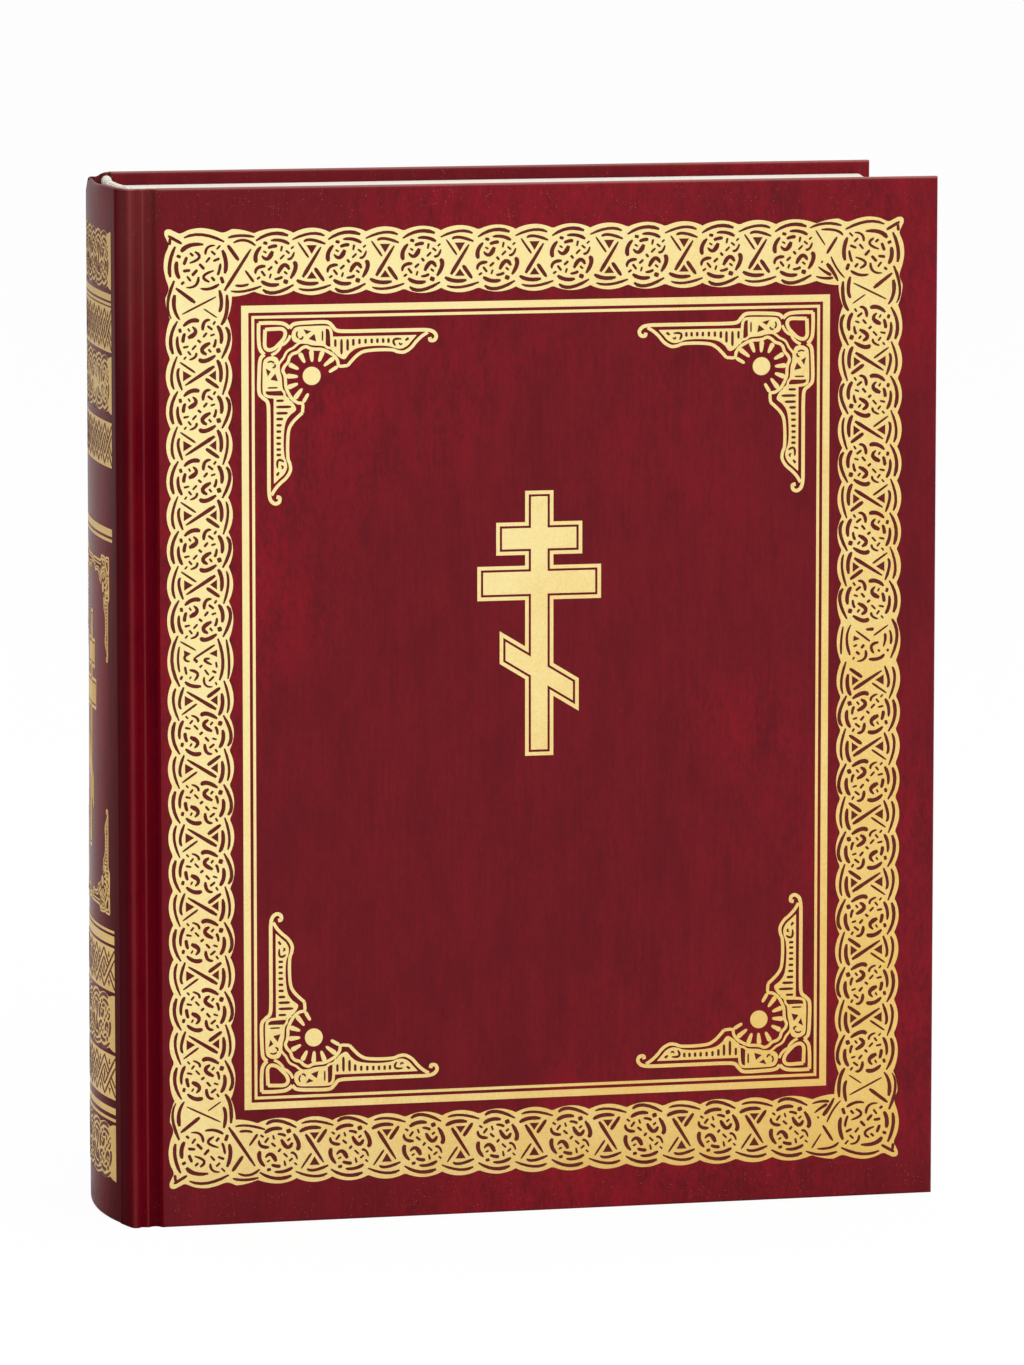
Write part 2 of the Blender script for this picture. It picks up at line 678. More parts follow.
OVER_CROSSING = [
    (-5.05, 5.65, -0.3, 7.1, 3.35, 6.5, 0.4, 0.5),
    (-2.05, 5.1, 0.0, 5.5, 3.6, 4.4, 0.45, 0.5),
    (-3.95, -4.7, -1.4, -5.65, 1.75, -5.5, 0.65, 0.6),
    (-3.4, -6.9, 0.25, -7.3, 5.0, -6.1, 0.4, 0.45),
]
CORNER = [
    straight(-7.4, 5.2, -7.2, 7.0, 0.5, 0.45),
    straight(-7.7, 7.5, -4.2, 5.5, 0.5, 0.5),
    (-7.2, -3.0, -7.3, 0.7, -5.9, 4.8, 0.6, 0.55),
    (-4.8, -3.4, -5.6, -1.4, -5.5, 1.0, 0.65, 0.7),
    straight(-5.5, 2.5, -4.5, 2.0, 0.5, 0.5),
    (-4.4, 3.4, -2.2, 5.0, 1.4, 5.2, 0.8, 0.5),
    (-3.6, 7.0, 1.1, 7.7, 6.8, 5.8, 0.45, 0.5),
    (6.9, -2.3, 7.2, 0.6, 6.3, 3.7, 0.65, 0.65),
    straight(6.5, -4.8, 5.9, -3.1, 0.55, 0.55),
    (5.0, -2.7, 5.5, -1.4, 5.8, 0.3, 0.45, 0.45),
    (0.6, -6.0, 3.0, -6.1, 5.4, -5.0, 0.4, 0.55),
    straight(-4.4, -4.9, -3.6, -4.2, 0.45, 0.4),
    (-3.1, -5.7, -0.7, -5.2, 0.1, -3.0, 0.3, 0.55),
    straight(-1.9, -4.1, -2.9, -2.8, 0.4, 0.35),
    straight(-3.9, -1.5, -2.0, -1.3, 0.5, 0.45),
    straight(-1.6, -2.7, -0.2, -1.2, 0.5, 0.5),
    (2.9, -4.4, 1.4, -2.9, 4.1, -1.5, 0.5, 0.4),
    straight(4.3, -4.1, 3.4, -3.1, 0.45, 0.4),
    straight(1.6, -1.1, 0.3, 0.3, 0.5, 0.45),
    (-2.2, 0.5, 0.3, 1.9, -0.8, 3.4, 0.4, 0.5),
    straight(-3.7, 0.1, -2.9, 2.1, 0.55, 0.5),
    straight(-1.2, 2.3, -2.1, 3.1, 0.4, 0.4),
    (1.9, 2.6, 2.5, 4.4, 4.4, 4.9, 0.5, 0.3),
    straight(2.0, 0.6, 3.1, 1.9, 0.35, 0.4),
    straight(3.9, 0.9, 5.6, 1.6, 0.4, 0.45),
    straight(4.5, 2.5, 3.4, 3.5, 0.4, 0.35),
    straight(4.8, 3.9, 5.8, 4.9, 0.3, 0.35),
]
CORNER_ROW_LEFT = [
    straight(6.8, -6.7, 13.7, 3.8, 0.6, 0.45),
    straight(14.4, -4.6, 12.2, -1.6, 0.5, 0.35),
    straight(10.5, 1.0, 7.7, 4.9, 0.6, 0.6),
    (8.5, -6.8, 11.9, -6.9, 16.4, -5.7, 0.35, 0.45),
    (9.6, -5.4, 11.5, -5.5, 13.1, -5.1, 0.45, 0.4),
    (9.2, 5.5, 12.1, 6.1, 14.9, 4.7, 0.4, 0.45),
    (7.8, 6.8, 10.9, 7.3, 14.6, 6.9, 0.45, 0.45),
]
CORNER_ROW_RIGHT = [
    (7.0, -6.8, 9.1, -4.3, 10.7, -1.2, 0.3, 0.35),
    (14.7, -6.3, 12.4, -6.8, 10.1, -6.7, 0.3, 0.55),
    (10.6, -6.0, 12.3, -5.1, 14.1, -3.8, 0.6, 0.3),
    (8.8, -7.6, 10.1, -5.2, 11.8, -3.0, 0.4, 0.75),
    straight(13.3, -2.8, 12.9, -2.3, 0.3, 0.3),
    straight(11.8, -0.4, 9.1, 3.8, 0.5, 0.45),
    straight(12.3, 1.8, 14.8, 5.6, 0.25, 0.3),
    (7.5, 4.3, 9.6, 5.6, 13.3, 5.8, 0.45, 0.4),
    (7.9, 6.8, 12.2, 7.4, 16.4, 6.3, 0.5, 0.4),
]
CORNER_COLUMN = [
    (-7.0, -13.6, -7.9, -9.6, -6.2, -3.9, 0.3, 0.6),
    (-4.8, -13.9, -6.2, -11.0, -6.1, -7.5, 0.4, 0.75),
    straight(-4.2, -12.5, 4.6, -8.2, 0.3, 0.3),
    straight(4.8, -13.5, 1.4, -11.2, 0.25, 0.25),
    straight(-0.8, -9.6, -5.8, -5.8, 0.65, 0.5),
    (5.4, -12.1, 6.0, -9.8, 5.5, -6.5, 0.55, 0.6),
    (5.9, -15.4, 7.3, -12.3, 7.4, -7.7, 0.6, 0.6),
]
MERGED_LEFT = [
    (-5.4, 6.7, -7.0, 0.3, -5.0, -6.4, 0.5, 0.55),
    (-5.0, 3.9, -5.4, 0.7, -5.0, -2.7, 0.35, 0.4),
    (5.0, 5.7, 6.3, -0.1, 5.4, -5.1, 0.5, 0.5),
    (7.2, 5.4, 7.9, -0.1, 7.6, -4.8, 0.45, 0.4),
    straight(-4.8, 5.2, -0.7, 2.8, 0.3, 0.3),
    straight(4.2, 4.1, -1.3, 0.7, 0.4, 0.35),
    straight(-1.3, 0.7, -0.3, -0.3, 0.55, 0.5),
    (-3.6, 1.6, -3.5, 0.4, -2.3, 0.0, 0.5, 0.3),
    (2.9, 0.6, 1.5, 0.2, 3.4, -1.0, 0.45, 0.45),
    straight(4.5, -0.3, 4.7, -1.8, 0.35, 0.35),
    straight(0.9, -1.0, 0.2, -1.7, 0.35, 0.35),
    straight(3.5, -2.6, 4.6, -3.1, 0.4, 0.4),
    straight(1.5, -2.2, 2.6, -3.7, 0.35, 0.35),
    straight(-3.6, -1.3, -3.2, -3.4, 0.4, 0.4),
    (-2.4, -2.2, -0.3, -3.2, -1.2, -5.0, 0.55, 0.4),
    straight(-1.9, -3.9, -2.5, -4.5, 0.25, 0.25),
    straight(-4.3, -3.7, -4.8, -4.7, 0.45, 0.4),
    (-3.6, -5.2, -1.9, -6.3, 0.6, -6.5, 0.55, 0.6),
    (1.4, -4.1, 1.7, -6.2, 3.6, -6.7, 0.45, 0.3),
    straight(4.0, -4.0, 2.6, -5.3, 0.35, 0.35),
    straight(4.3, -5.5, 4.7, -6.3, 0.3, 0.3),
]
MERGED_LEFT_FILL = [
    straight(-3.8, 1.9, -2.1, 2.0, 2.1, 0.1),
    straight(4.8, 1.9, 2.8, 1.9, 1.9, 0.1),
]
MERGED_RIGHT = [
    (5.5, 5.7, 6.9, 1.2, 5.2, -4.6, 0.6, 0.45),
    (4.8, 2.8, 5.3, 1.3, 5.2, -0.9, 0.3, 0.5),
    (3.6, 2.0, 3.7, 0.4, 3.2, -1.5, 0.55, 0.3),
    (-7.7, 4.1, -8.2, 0.5, -8.2, -3.2, 0.35, 0.4),
    (-5.6, 4.5, -6.7, 0.9, -5.8, -3.5, 0.3, 0.55),
    straight(-4.3, 2.9, -0.4, 0.0, 0.3, 0.4),
    straight(4.5, 4.2, 0.6, 1.5, 0.25, 0.35),
    straight(-1.5, 3.1, 0.6, 3.2, 0.4, 0.6),
    straight(-4.9, -1.3, -3.9, -0.8, 0.35, 0.35),
    straight(-2.0, -0.8, -2.8, -1.8, 0.5, 0.4),
    (1.9, -0.3, 0.0, -1.2, 0.6, -3.2, 0.5, 0.5),
    straight(1.7, -2.2, 2.3, -2.8, 0.35, 0.35),
    straight(4.3, -2.1, 4.5, -2.8, 0.4, 0.4),
    straight(-4.2, -2.6, -3.2, -3.4, 0.45, 0.45),
    straight(-4.6, -4.0, -5.1, -4.7, 0.3, 0.3),
    (-1.6, -2.3, -1.8, -4.4, -3.9, -5.2, 0.55, 0.3),
    (3.5, -3.5, 1.9, -4.6, -0.7, -4.7, 0.5, 0.6),
]
MERGED_RIGHT_FILL = [straight(-4.9, 0.9, -3.2, 0.7, 1.5, 0.1)]


def add_strokes(stamp, strokes, places):
    """Puts strokes at every place; the ribbons keep their width times the weight of the places."""
    lines, halves = stroke_lines(strokes)
    put = places.put(lines)
    wide = np.broadcast_to(halves * places.weight, put.shape[:-1])
    stamp.ribbon(put.reshape(-1, *put.shape[2:]), wide.reshape(-1, wide.shape[-1]))


def add_wedges(stamp, strokes, places):
    """Puts wedges at every place: straight from a wide end to a point."""
    rows = np.asarray(strokes, float) * MM
    lines = np.stack([rows[:, 0:2], rows[:, 4:6]], axis=1)
    halves = np.stack([rows[:, 6], rows[:, 7]], axis=1) / 2
    put = places.put(lines)
    wide = np.broadcast_to(halves * places.weight, put.shape[:-1])
    stamp.ribbon(put.reshape(-1, 2, 2), wide.reshape(-1, 2))


def front_surface(flat, height):
    """Flat points, from the joint edge and the tail, on the front face."""
    x = flat[:, 0] + BOARD_LO.x
    y = COVER_LO.y - height + np.zeros(len(flat))
    return np.stack([x, y, flat[:, 1]], axis=1)


def ease(share):
    """Smooth step of a share that is cut to 0 to 1: three squares less two cubes."""
    share = np.clip(share, 0.0, 1.0)
    return share * share * (3 - 2 * share)


def spine_angle(cover, y):
    """Angle of the spine's arc at a distance y from the middle of the book."""
    return math.asin((y - cover.spine_cy) / cover.spine_r)


SWELL_LEAN = 0.35
SWELL_HOLLOW = -0.2
DRAW_FROM, DRAW_TO = -0.35, 0.5
SINK_FROM, SINK_TO = -0.9, 0.6
JOINT_REST = 1.0 * MM


def spine_swell(_, y, z):
    """Shift of the spine's face, with t from -1 to 1 across it and s from 0 to 1 up to the swell's end.

    Outwards by the swell times (1 - t squared) times (1 - lean times t) times (1 - s squared, at least the
    hollow); near the head inwards by the draw and down by the sink, each times a smooth step up it and
    another one across it.
    """
    cover = bpy.context.scene.book_covering
    t = np.clip(y / cover.spine_y, -1.0, 1.0)
    s = z / cover.swell_end
    out = cover.swell * (1 - t**2) * (1 - SWELL_LEAN * t) * np.maximum(1 - s**2, SWELL_HOLLOW)
    near = ease((z - COVER_HI.z) / cover.draw_reach + 1.0)
    inwards = cover.draw * near * ease((t - DRAW_FROM) / (DRAW_TO - DRAW_FROM))
    down = cover.sink * near * ease((t - SINK_FROM) / (SINK_TO - SINK_FROM))
    return np.stack([inwards - out, np.zeros_like(down), -down], axis=1)


def joint_shift(x, y, z):
    """Shift of a joint: that of the spine's end, eased to none just before the board."""
    last = BOARD_LO.x - JOINT_REST
    share = ease((last - x) / (last - SPINE_HI.x))
    return spine_swell(x, y, z) * share[:, None]


def spine_surface(flat, height):
    """Flat points, across the spine towards the front and up from the tail, on the spine's swollen arc."""
    cover = bpy.context.scene.book_covering
    ends = [spine_angle(cover, y) for y in (SPINE_LO.y, SPINE_HI.y)]
    across = flat[:, 0] - cover.askew * flat[:, 1] / COVER_HI.z
    angle = (ends[0] + ends[1]) / 2 - across / cover.spine_r
    radius = cover.spine_r + height
    x = cover.spine_cx - radius * np.cos(angle)
    y = cover.spine_cy + radius * np.sin(angle)
    return np.stack([x, y, flat[:, 1]], axis=1) + spine_swell(x, y, flat[:, 1])


def gold_on_front(stamp, name, sizes):
    """Lays gold on the front cover."""
    stamp.finish(name, front_surface, sizes.foil, looks("gold"), "gold_foil", "front_cover")


def land_on_front(stamp, name, sizes):
    """Lays unstamped lines over the gold of the front cover."""
    stamp.finish(name, front_surface, sizes.land, looks("land"), "leatherette", "front_cover")


# Middles of the roundels, and of the motifs that occur once, from the joint edge and the tail
ROW_STOPS = (30.4, 49.2, 68.7, 88.4, 108.0, 127.9, 147.7, 167.2)
COLUMN_STOPS_HIGH = (229.2, 211.3, 193.4, 175.5, 157.7)
COLUMN_STOPS_LOW = (128.2, 110.3, 92.4, 74.5, 56.5, 38.5)
COLUMN_CROSSING = 136.8
MERGED = ((9.95, 147.0), (188.6, 147.0))
CORNERS = ((10.3, 248.5), (187.8, 248.9), (10.4, 18.9), (187.9, 18.9))
# Upper edge of the gold at a corner, from its ear to where the row begins
CORNER_REACH = 8.65
CORNER_EDGE = [
    (-8.3, 8.75),
    (-7.3, 8.75),
    (-6.0, 8.15),
    (-4.65, 7.7),
    (-2.15, 8.65),
    (0.7, 9.0),
    (3.5, 8.55),
    (6.3, 7.75),
    (CORNER_REACH, 8.55),
]
CORNER_EDGE_STATIONS, CORNER_SIDE_STATIONS = 60, 20
SCALLOP_STATIONS = 13
SCALLOP_BULGE = 0.8


def middles(stops):
    """Places midway between the stops."""
    stops = np.asarray(stops)
    return (stops[:-1] + stops[1:]) / 2


def scalloped_band(stamp, centre, peaks, sizes, upright):
    """A band between two scalloped edges: half width plus a rise times a power of the size of a cosine.

    The cosine is largest at every peak, the first and the last of which are the ends of the band.
    """
    along = np.linspace(peaks[0], peaks[-1], SCALLOP_STATIONS * len(peaks))
    turn = np.interp(along, peaks, np.arange(len(peaks))) * math.pi
    edge = sizes.band + sizes.scallop * np.abs(np.cos(turn)) ** SCALLOP_BULGE
    low = np.stack([along, centre - edge], axis=1)
    high = np.stack([along, centre + edge], axis=1)
    if upright:
        low, high = low[:, ::-1], high[:, ::-1]
    stamp.strip(low[None], high[None])


def border_places(sizes):
    """Places of the roundels and crossings of the border, each with its two directions."""
    roundels, crossings = [], []
    row = np.asarray(ROW_STOPS) * MM
    for z, out in ((sizes.row_top, 1.0), (sizes.row_bottom, -1.0)):
        roundels += [(x, z, 1, 0, 0, out) for x in row]
        crossings += [(x, z, 1, 0, 0, out) for x in middles(row)]
    high = np.asarray(COLUMN_STOPS_HIGH) * MM
    low = np.asarray(COLUMN_STOPS_LOW) * MM
    below = [COLUMN_CROSSING * MM, *middles(low)]
    for x, out in ((sizes.column_left, -1.0), (sizes.column_right, 1.0)):
        roundels += [(x, z, 0, -1, out, 0) for z in high]
        crossings += [(x, z, 0, -1, out, 0) for z in middles(high)]
        roundels += [(x, z, 0, 1, out, 0) for z in low]
        crossings += [(x, z, 0, 1, out, 0) for z in below]
    return Places(roundels), Places(crossings)


def corner_places(points):
    """The four corners, with the first direction along the row inwards and the second outwards."""
    turns = ((1, 0, 0, 1), (-1, 0, 0, 1), (1, 0, 0, -1), (-1, 0, 0, -1))
    return Places([(*point, *turn) for point, turn in zip(points, turns)])


def row_peaks(sizes):
    """Peaks of the scallops of a row, with the ends next to the corners."""
    ends = (sizes.column_left + CORNER_REACH * MM, sizes.column_right - CORNER_REACH * MM)
    inner = np.concatenate([ROW_STOPS, middles(ROW_STOPS)]) * MM
    return np.sort(np.concatenate([ends, inner]))


def column_peaks(sizes):
    """Peaks of the scallops of a column, with the ends next to the corners."""
    ends = (sizes.row_bottom + CORNER_REACH * MM, sizes.row_top - CORNER_REACH * MM)
    high, low = COLUMN_STOPS_HIGH, COLUMN_STOPS_LOW
    single = (COLUMN_CROSSING, MERGED[0][1])
    inner = np.concatenate([high, middles(high), low, middles(low), single]) * MM
    return np.sort(np.concatenate([ends, inner]))


def corner_patch(stamp, places):
    """The gold of a corner between two edges, mirror images, that run from the ear to the inner corner."""
    side = np.linspace(CORNER_EDGE[-1], (CORNER_REACH, -CORNER_REACH), CORNER_SIDE_STATIONS)
    half = np.vstack([smooth_curve(CORNER_EDGE, CORNER_EDGE_STATIONS), side[1:]]) * MM
    stamp.strip(places.put(half), places.put(-half[:, ::-1]))


class BOOK_OT_front_border(bpy.types.Operator):
    """Stamps the interlace border on the front cover"""

    bl_idname = "book.front_border"
    bl_label = "Front border"

    def execute(self, context):
        sizes = context.scene.book_stamping
        gold = Stamp()
        left, right = sizes.column_left, sizes.column_right
        top, bottom = sizes.row_top, sizes.row_bottom
        for z in (bottom, top):
            scalloped_band(gold, z, row_peaks(sizes), sizes, False)
        for x in (left, right):
            scalloped_band(gold, x, column_peaks(sizes), sizes, True)
        corner_patch(gold, corner_places([(left, top), (right, top), (left, bottom), (right, bottom)]))
        gold_on_front(gold, "front_border_gold", sizes)
        land = Stamp()
        roundels, crossings = border_places(sizes)
        add_strokes(land, RING + WHIRLS + OVER_ROUNDEL, roundels)
        add_strokes(land, CROSSING + OVER_CROSSING, crossings)
        add_wedges(land, CROSSING_FILL, crossings)
        corner = corner_places(np.asarray(CORNERS) * MM)
        add_strokes(land, CORNER + CORNER_COLUMN, corner)
        add_strokes(land, CORNER_ROW_LEFT, corner.some([0, 2]))
        add_strokes(land, CORNER_ROW_RIGHT, corner.some([1, 3]))
        merged = Places([(x * MM, z * MM, 1, 0, 0, 1) for x, z in MERGED])
        add_strokes(land, MERGED_LEFT, merged.some([0]))
        add_wedges(land, MERGED_LEFT_FILL, merged.some([0]))
        add_strokes(land, MERGED_RIGHT, merged.some([1]))
        add_wedges(land, MERGED_RIGHT_FILL, merged.some([1]))
        land_on_front(land, "front_border_land", sizes)
        return {"FINISHED"}


def rectangle(left, right, bottom, top, inset):
    """Closed outline of a rectangle, moved inwards."""
    x0, x1, z0, z1 = left + inset, right - inset, bottom + inset, top - inset
    return np.array([(x0, z0), (x1, z0), (x1, z1), (x0, z1), (x0, z0)])


class BOOK_OT_front_rules(bpy.types.Operator):
    """Stamps the thick and thin rule frames on the front cover"""

    bl_idname = "book.front_rules"
    bl_label = "Front rules"

    def execute(self, context):
        sizes = context.scene.book_stamping
        frame_box = (sizes.rule_left, sizes.rule_right, sizes.rule_bottom, sizes.rule_top)
        second = sizes.rule_thick + sizes.rule_gap
        gold = Stamp()
        for first, last in ((0.0, sizes.rule_thick), (second, second + sizes.rule_thin)):
            outer, inner = rectangle(*frame_box, first), rectangle(*frame_box, last)
            gold.strip(outer[None], inner[None])
        gold_on_front(gold, "front_rules", sizes)
        return {"FINISHED"}


# Stem: left, right, foot and top; bars: half length, low and high edge; foot bar: half length, middle,
# height and slope
CROSS_STEM = (-3.75, 3.75, 119.8, 188.7)
CROSS_BARS = ((11.4, 172.1, 180.6), (16.4, 160.4, 169.3))
CROSS_FOOT = (10.5, 141.8, 8.5, -0.61)
CROSS_LINE = 0.95
CROSS_FILL = 1.55


def cross_outline(inset):
    """Closed outline of the eight-pointed cross, moved inwards: down its right side, up its left side."""
    left, right, bottom, top = CROSS_STEM
    left, right, bottom, top = left + inset, right - inset, bottom + inset, top - inset
    reach, middle, tall, slope = CROSS_FOOT
    reach -= inset
    rise = tall / 2 - inset * math.hypot(1.0, slope)
    side = [(0.0, top), (right, top)]
    for half, low, high in CROSS_BARS:
        half, low, high = half - inset, low + inset, high - inset
        side += [(right, high), (half, high), (half, low), (right, low)]
    ends = {}
    for sign in (1.0, -1.0):
        near, far = sign * right, sign * reach
        ends[sign] = [
            (near, middle + slope * near + rise),
            (far, middle + slope * far + rise),
            (far, middle + slope * far - rise),
            (near, middle + slope * near - rise),
        ]
    upper = np.array(side)
    mirrored = upper[::-1] * (-1.0, 1.0)
    foot = [(right, bottom), (left, bottom)]
    return np.vstack([upper, ends[1.0], foot, ends[-1.0][::-1], mirrored]) * MM


def cross_sides(inset):
    """The right and the left side of the cross, moved inwards, each from the top to the foot."""
    outline = cross_outline(inset)
    half = len(outline) // 2
    return outline[:half], outline[::-1][:half]


class BOOK_OT_front_cross(bpy.types.Operator):
    """Stamps the eight-pointed cross on the front cover"""

    bl_idname = "book.front_cross"
    bl_label = "Front cross"

    def execute(self, context):
        sizes = context.scene.book_stamping
        shift = np.array([sizes.cross_x, 0.0])
        gold = Stamp()
        outer, inner = cross_outline(0.0) + shift, cross_outline(CROSS_LINE) + shift
        gold.strip(outer[None], inner[None])
        right, left = cross_sides(CROSS_FILL)
        gold.strip((right + shift)[None], (left + shift)[None])
        gold_on_front(gold, "front_cross", sizes)
        return {"FINISHED"}


# Lines of one half of a corner ornament, in millimetres along the arm and away from the rules
FRAME_LINE = [(0.45, 0.45), (3.4, 0.4), (6.2, 0.55), (7.5, 1.0), (8.5, 1.85)]
ARM_LINE = [
    (8.5, 1.85),
    (9.8, 0.8),
    (13.7, 0.5),
    (18.1, 0.5),
    (19.5, 1.4),
    (20.8, 2.7),
    (24.0, 2.95),
    (30.0, 2.95),
    (36.0, 2.95),
    (41.0, 2.95),
    (44.1, 3.0),
    (45.9, 3.4),
    (46.8, 4.5),
    (46.4, 5.6),
    (45.3, 5.7),
    (45.1, 4.9),
]
INNER_LINE = [
    (44.6, 3.6),
    (42.9, 4.7),
    (41.6, 5.9),
    (40.2, 7.5),
    (38.4, 8.55),
    (36.7, 8.45),
    (35.2, 7.95),
    (31.6, 7.85),
    (28.1, 8.15),
    (26.3, 9.0),
    (24.8, 10.4),
    (23.6, 11.75),
]
RING_LINE = [
    (23.6, 11.75),
    (21.4, 11.8),
    (21.0, 10.5),
    (20.2, 9.3),
    (19.0, 8.4),
    (17.0, 7.5),
    (15.0, 7.35),
    (13.8, 7.15),
    (12.75, 6.7),
    (11.6, 7.1),
    (10.6, 8.0),
    (9.4, 8.4),
    (8.8, 8.8),
]
OUTER_RING_LINE = [
    (7.8, 7.8),
    (8.4, 7.4),
    (9.5, 6.85),
    (10.4, 6.1),
    (11.3, 5.6),
    (13.1, 5.7),
    (14.4, 6.05),
    (16.3, 6.2),
    (17.5, 6.4),
    (18.3, 7.0),
    (19.4, 7.3),
    (20.2, 8.3),
]
PANEL_LINE = [
    (11.2, 5.5),
    (9.7, 4.95),
    (9.35, 3.75),
    (9.7, 2.6),
    (10.6, 1.95),
    (13.9, 1.8),
    (18.0, 1.8),
    (19.1, 2.45),
    (19.4, 4.1),
    (19.5, 6.9),
]
DIVIDER_LINE = [(17.65, 2.1), (17.65, 4.2), (17.6, 6.2)]
HEART_LINE = [(2.1, 2.1), (4.3, 2.0), (6.5, 2.05), (7.35, 3.0), (6.95, 4.5), (5.8, 5.8)]
LINK_LINE = [(8.7, 3.7), (8.0, 4.95), (7.1, 5.8), (6.2, 6.2)]
LADDER_LOW = [
    (19.6, 6.9),
    (20.6, 8.9),
    (22.7, 10.1),
    (24.1, 8.6),
    (25.7, 7.5),
    (28.0, 7.0),
    (31.5, 6.8),
    (34.4, 7.0),
    (36.0, 7.5),
    (37.6, 7.7),
    (39.2, 7.0),
    (40.5, 5.6),
    (41.6, 4.4),
]
LADDER_TOP = [(u, 4.25) for u, _ in LADDER_LOW]
PANEL_TOP = [(9.5, 3.7), (9.9, 2.7), (10.8, 2.1), (13.9, 1.95), (17.5, 1.95)]
PANEL_LOW = [(9.5, 4.2), (9.9, 4.9), (11.0, 5.4), (13.9, 5.8), (17.5, 6.2)]
SPOKES = [
    straight(18.7, 13.3, 21.0, 11.95, 0.5, 0.6),
    straight(17.4, 11.7, 20.0, 9.7, 0.45, 0.85),
    straight(16.1, 10.6, 17.1, 7.9, 0.45, 0.85),
    straight(14.3, 10.6, 14.1, 7.6, 0.45, 0.85),
    straight(12.4, 10.8, 11.1, 8.3, 0.45, 0.85),
]
ORNAMENT_LINES = (
    (FRAME_LINE, 0.95),
    (ARM_LINE, 0.95),
    (INNER_LINE, 0.85),
    (RING_LINE, 0.82),
    (OUTER_RING_LINE, 0.62),
    (PANEL_LINE, 0.75),
    (DIVIDER_LINE, 0.5),
    (HEART_LINE, 0.95),
    (LINK_LINE, 0.75),
)
SUN_CENTRE, SUN_RADIUS = (14.2, 14.2), 2.35
DISC_STATIONS = 25
LINE_STATIONS = 6
# Rungs of the ladder: place along the arm, end and width
RUNG_START = 4.95
RUNGS = (
    (20.4, 6.9, 0.38),
    (22.0, 8.8, 0.42),
    (23.6, 7.9, 0.42),
    (25.1, 6.7, 0.42),
    (26.7, 6.3, 0.4),
    (28.3, 6.2, 0.4),
    (29.9, 6.15, 0.4),
    (31.4, 6.1, 0.4),
    (32.9, 6.1, 0.4),
    (34.3, 6.15, 0.4),
)
ORNAMENT_LAND = [
    *(straight(u, RUNG_START, u, end, width, width) for u, end, width in RUNGS),
    (37.7, 5.2, 35.7, 5.4, 36.1, 6.9, 0.35, 0.4),
    (37.9, 6.3, 37.4, 6.6, 37.1, 6.1, 0.3, 0.25),
    straight(38.7, 5.6, 39.6, 5.0, 0.3, 0.45),
    (10.6, 2.7, 10.3, 3.6, 10.75, 4.45, 0.25, 0.28),
    (11.0, 4.55, 11.6, 4.65, 11.95, 4.0, 0.28, 0.3),
    straight(17.05, 5.3, 17.05, 2.7, 0.25, 0.25),
    straight(18.5, 6.2, 18.4, 2.9, 0.4, 0.3),
]
PANEL_FILL = [
    straight(13.1, 2.5, 12.85, 3.5, 2.1, 0.1),
    straight(14.4, 5.05, 14.9, 3.6, 2.1, 0.25),
]


def ornament_places(left, right, bottom, top):
    """Eight places of the half ornament: each corner once along its row and once along its column."""
    rows = []
    for x, across in ((left, 1.0), (right, -1.0)):
        for z, up in ((bottom, 1.0), (top, -1.0)):
            rows += [(x, z, across, 0, 0, up), (x, z, 0, up, across, 0)]
    return Places(rows)


def fine_line(points):
    """A smooth line through points in millimetres, with the same number of stations for each of them."""
    return smooth_curve(points, LINE_STATIONS * len(points)) * MM


def add_line(stamp, points, width, places):
    """Puts a smooth line of that width at every place."""
    put = places.put(fine_line(points))
    stamp.ribbon(put, np.full(put.shape[:-1], places.weight * width * MM / 2))


def add_disc(stamp, centre, radius, places):
    """Puts a disc at every place, as a ribbon whose half width is the half chord."""
    turn = np.linspace(0, math.pi, DISC_STATIONS)
    along = centre[0] - radius * np.cos(turn)
    put = places.put(np.stack([along, np.full(DISC_STATIONS, centre[1])], axis=1) * MM)
    half = places.weight * radius * MM * np.sin(turn)
    stamp.ribbon(put, np.broadcast_to(half, put.shape[:-1]))


def ornament(gold, land, places):
    """One half of the corner ornament at every place: lines, panels, spokes, sun and the land in it."""
    for points, width in ORNAMENT_LINES:
        add_line(gold, points, width, places)
    for top, low in ((LADDER_TOP, LADDER_LOW), (PANEL_TOP, PANEL_LOW)):
        gold.strip(places.put(fine_line(top)), places.put(fine_line(low)))
    add_strokes(gold, SPOKES, places)
    one_half = slice(None, None, 2)
    add_disc(gold, SUN_CENTRE, SUN_RADIUS, places.some(one_half))
    add_strokes(land, ORNAMENT_LAND, places)
    add_wedges(land, PANEL_FILL, places)


class BOOK_OT_front_corners(bpy.types.Operator):
    """Stamps the four corner ornaments on the front cover"""

    bl_idname = "book.front_corners"
    bl_label = "Front corners"

    def execute(self, context):
        sizes = context.scene.book_stamping
        inset = sizes.ornament
        places = ornament_places(
            sizes.rule_left + inset,
            sizes.rule_right - inset,
            sizes.rule_bottom + inset,
            sizes.rule_top - inset,
        )
        gold, land = Stamp(), Stamp()
        ornament(gold, land, places)
        gold_on_front(gold, "front_corners", sizes)
        land_on_front(land, "front_corners_land", sizes)
        return {"FINISHED"}


